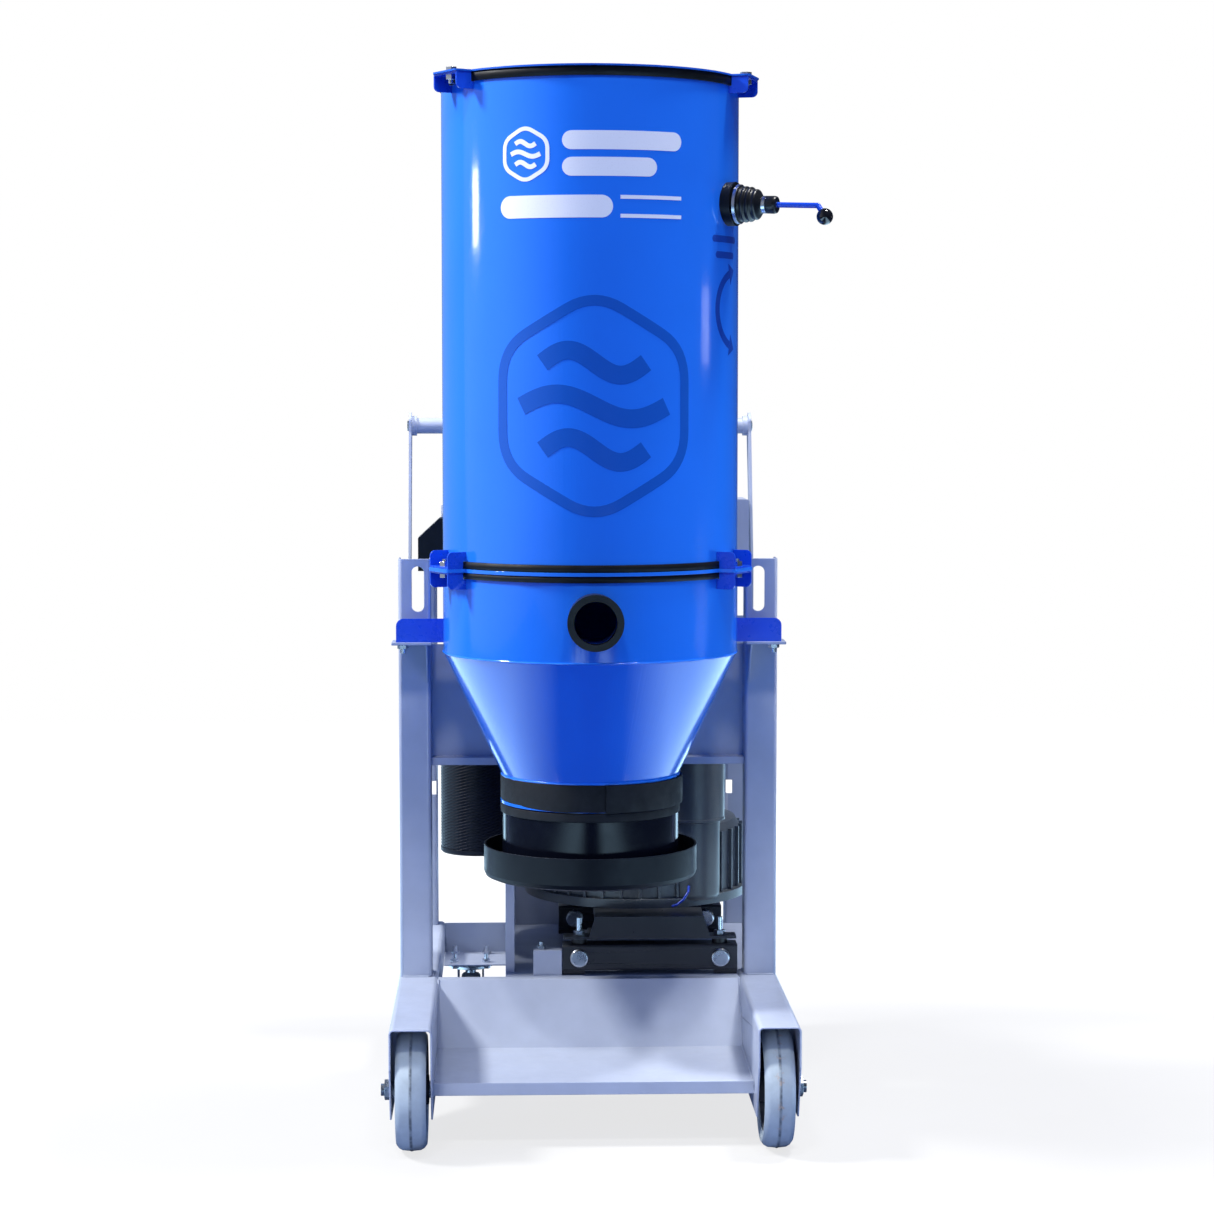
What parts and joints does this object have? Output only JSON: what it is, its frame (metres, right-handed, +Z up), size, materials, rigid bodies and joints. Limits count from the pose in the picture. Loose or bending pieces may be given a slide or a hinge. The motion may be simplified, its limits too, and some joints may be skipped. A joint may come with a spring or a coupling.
{
  "type": "dust collector",
  "caption": "Upright dust collector: steel filter drum over a cone hopper on a wheeled frame, with blower, filter shaker lever, bag collar and push handle.",
  "frame": {"origin": "on the floor, under the axis of the drum", "axes": "+Z up, +X to the right and +Y towards the handle, seen by someone facing the inlet"},
  "size_m": [0.7397, 1.036, 1.7695],
  "materials": {
    "drum_paint": "gloss",
    "bracket_paint": "gloss",
    "frame_paint": "satin powder coat",
    "gasket_rubber": "matt",
    "black_rubber": "satin",
    "strap_rubber": "matt",
    "black_plastic": "satin",
    "black_gloss": "gloss",
    "knob_plastic": "gloss",
    "hub_plastic": "satin",
    "pedal_plastic": "satin",
    "fan_plastic": "satin",
    "hose_plastic": "satin",
    "switch_plastic": "satin",
    "stop_plastic": "gloss",
    "filter_felt": "needled felt",
    "zinc": "zinc plated",
    "shaft_steel": "turned",
    "cast_aluminium": "cast",
    "blower_paint": "satin paint over cast aluminium",
    "mesh_black": "woven sleeve over a canister",
    "black_paint": "satin powder coat",
    "tyre_rubber": "matt",
    "caster_tread": "matt"
  },
  "bodies": {
    "base": {"lid": "drum_paint", "drum_gaskets": "gasket_rubber", "filter_drum": "drum_paint", "separator_plate": "drum_paint", "hopper": "drum_paint", "inlet_collar": "black_rubber", "clamp_lugs": "bracket_paint", "clamp_bolts": "zinc", "filter_bag": "filter_felt", "shaker_flange": "black_plastic", "shaker_boot": "black_rubber", "boot_base_clamp": "zinc", "outlet_strap": "strap_rubber", "bag_tube": "black_gloss", "bag_tray": "black_plastic", "support_ears": "bracket_paint", "front_columns": "frame_paint", "cross_members": "frame_paint", "side_rails": "frame_paint", "front_tray": "frame_paint", "rear_posts": "frame_paint", "front_axles": "zinc", "caster_plates": "zinc", "blower_console": "frame_paint", "blower_channels": "black_paint", "blower_feet": "black_paint", "rubber_buffers": "black_rubber", "blower_housing": "blower_paint", "motor_body": "blower_paint", "fan_cover": "blower_paint", "terminal_box": "black_plastic", "suction_silencer": "blower_paint", "exhaust_silencer": "mesh_black", "suction_hose": "hose_plastic", "control_box": "frame_paint", "power_inlet": "black_plastic", "handle_arms": "frame_paint", "handle_tube": "frame_paint", "frame_bolts": "zinc"},
    "shaker": {"shaker_lever": "bracket_paint", "lever_knob": "knob_plastic", "boot_neck_clamp": "zinc"},
    "hanger": {"filter_hanger": "zinc"},
    "flap": {"discharge_flap": "strap_rubber"},
    "front_wheel_left": {"front_tyre_left": "tyre_rubber", "front_hub_left": "hub_plastic"},
    "front_wheel_right": {"front_tyre_right": "tyre_rubber", "front_hub_right": "hub_plastic"},
    "fork_left": {"caster_fork_left": "zinc"},
    "fork_right": {"caster_fork_right": "zinc"},
    "caster_left": {"caster_wheel_left": "caster_tread"},
    "caster_right": {"caster_wheel_right": "caster_tread"},
    "brake_left": {"caster_brake_left": "pedal_plastic"},
    "brake_right": {"caster_brake_right": "pedal_plastic"},
    "rotor": {"motor_rotor": "shaft_steel", "blower_impeller": "cast_aluminium", "motor_fan": "fan_plastic"},
    "door": {"box_door": "frame_paint"},
    "isolator": {"isolator_knob": "switch_plastic"},
    "stop": {"stop_button": "stop_plastic"}
  },
  "joints": [
    {"name": "shaker_pivot", "type": "hinge", "parent": "base", "child": "shaker", "pos_m": [0.23106, -0.11021, 1.551], "axis": [-0.4305, -0.9026, 0], "range_deg": [-8, 8], "deforming": ["shaker_boot"]},
    {"name": "hanger_lift", "type": "slide", "parent": "base", "child": "hanger", "axis": [0, 0, 1], "range_m": [-0.0215, 0.0215], "deforming": ["filter_bag"]},
    {"name": "flap_hinge", "type": "hinge", "parent": "base", "child": "flap", "pos_m": [0, 0.128, 0.549], "axis": [1, 0, 0], "range_deg": [0, 33]},
    {"name": "front_wheel_left_spin", "type": "hinge", "parent": "base", "child": "front_wheel_left", "pos_m": [-0.299, -0.22, 0.1], "axis": [1, 0, 0], "continuous": true},
    {"name": "front_wheel_right_spin", "type": "hinge", "parent": "base", "child": "front_wheel_right", "pos_m": [0.299, -0.22, 0.1], "axis": [1, 0, 0], "continuous": true},
    {"name": "caster_left_swivel", "type": "hinge", "parent": "base", "child": "fork_left", "pos_m": [-0.214, 0.56, 0.1], "axis": [0, 0, 1], "continuous": true},
    {"name": "caster_left_spin", "type": "hinge", "parent": "fork_left", "child": "caster_left", "pos_m": [-0.214, 0.598, 0.0625], "axis": [1, 0, 0], "continuous": true},
    {"name": "caster_left_pedal", "type": "hinge", "parent": "fork_left", "child": "brake_left", "pos_m": [-0.214, 0.62, 0.13], "axis": [1, 0, 0], "range_deg": [-9, 0]},
    {"name": "caster_right_swivel", "type": "hinge", "parent": "base", "child": "fork_right", "pos_m": [0.214, 0.56, 0.1], "axis": [0, 0, 1], "continuous": true},
    {"name": "caster_right_spin", "type": "hinge", "parent": "fork_right", "child": "caster_right", "pos_m": [0.214, 0.598, 0.0625], "axis": [1, 0, 0], "continuous": true},
    {"name": "caster_right_pedal", "type": "hinge", "parent": "fork_right", "child": "brake_right", "pos_m": [0.214, 0.62, 0.13], "axis": [1, 0, 0], "range_deg": [-9, 0]},
    {"name": "rotor_spin", "type": "hinge", "parent": "base", "child": "rotor", "pos_m": [0.095, 0.4, 0.55], "axis": [0, 0, 1], "continuous": true},
    {"name": "door_hinge", "type": "hinge", "parent": "base", "child": "door", "pos_m": [-0.264, 0.648, 0.97], "axis": [0, 0, 1], "range_deg": [0, 100]},
    {"name": "isolator_turn", "type": "hinge", "parent": "door", "child": "isolator", "pos_m": [0.15, 0.645, 0.985], "axis": [0, 1, 0], "range_deg": [0, 90]},
    {"name": "stop_press", "type": "slide", "parent": "door", "child": "stop", "axis": [0, -1, 0], "range_m": [0, 0.005]}
  ],
  "couplings": [
    {"joint": "hanger_lift", "follows": "shaker_pivot", "m_per_rad": -0.15}
  ]
}
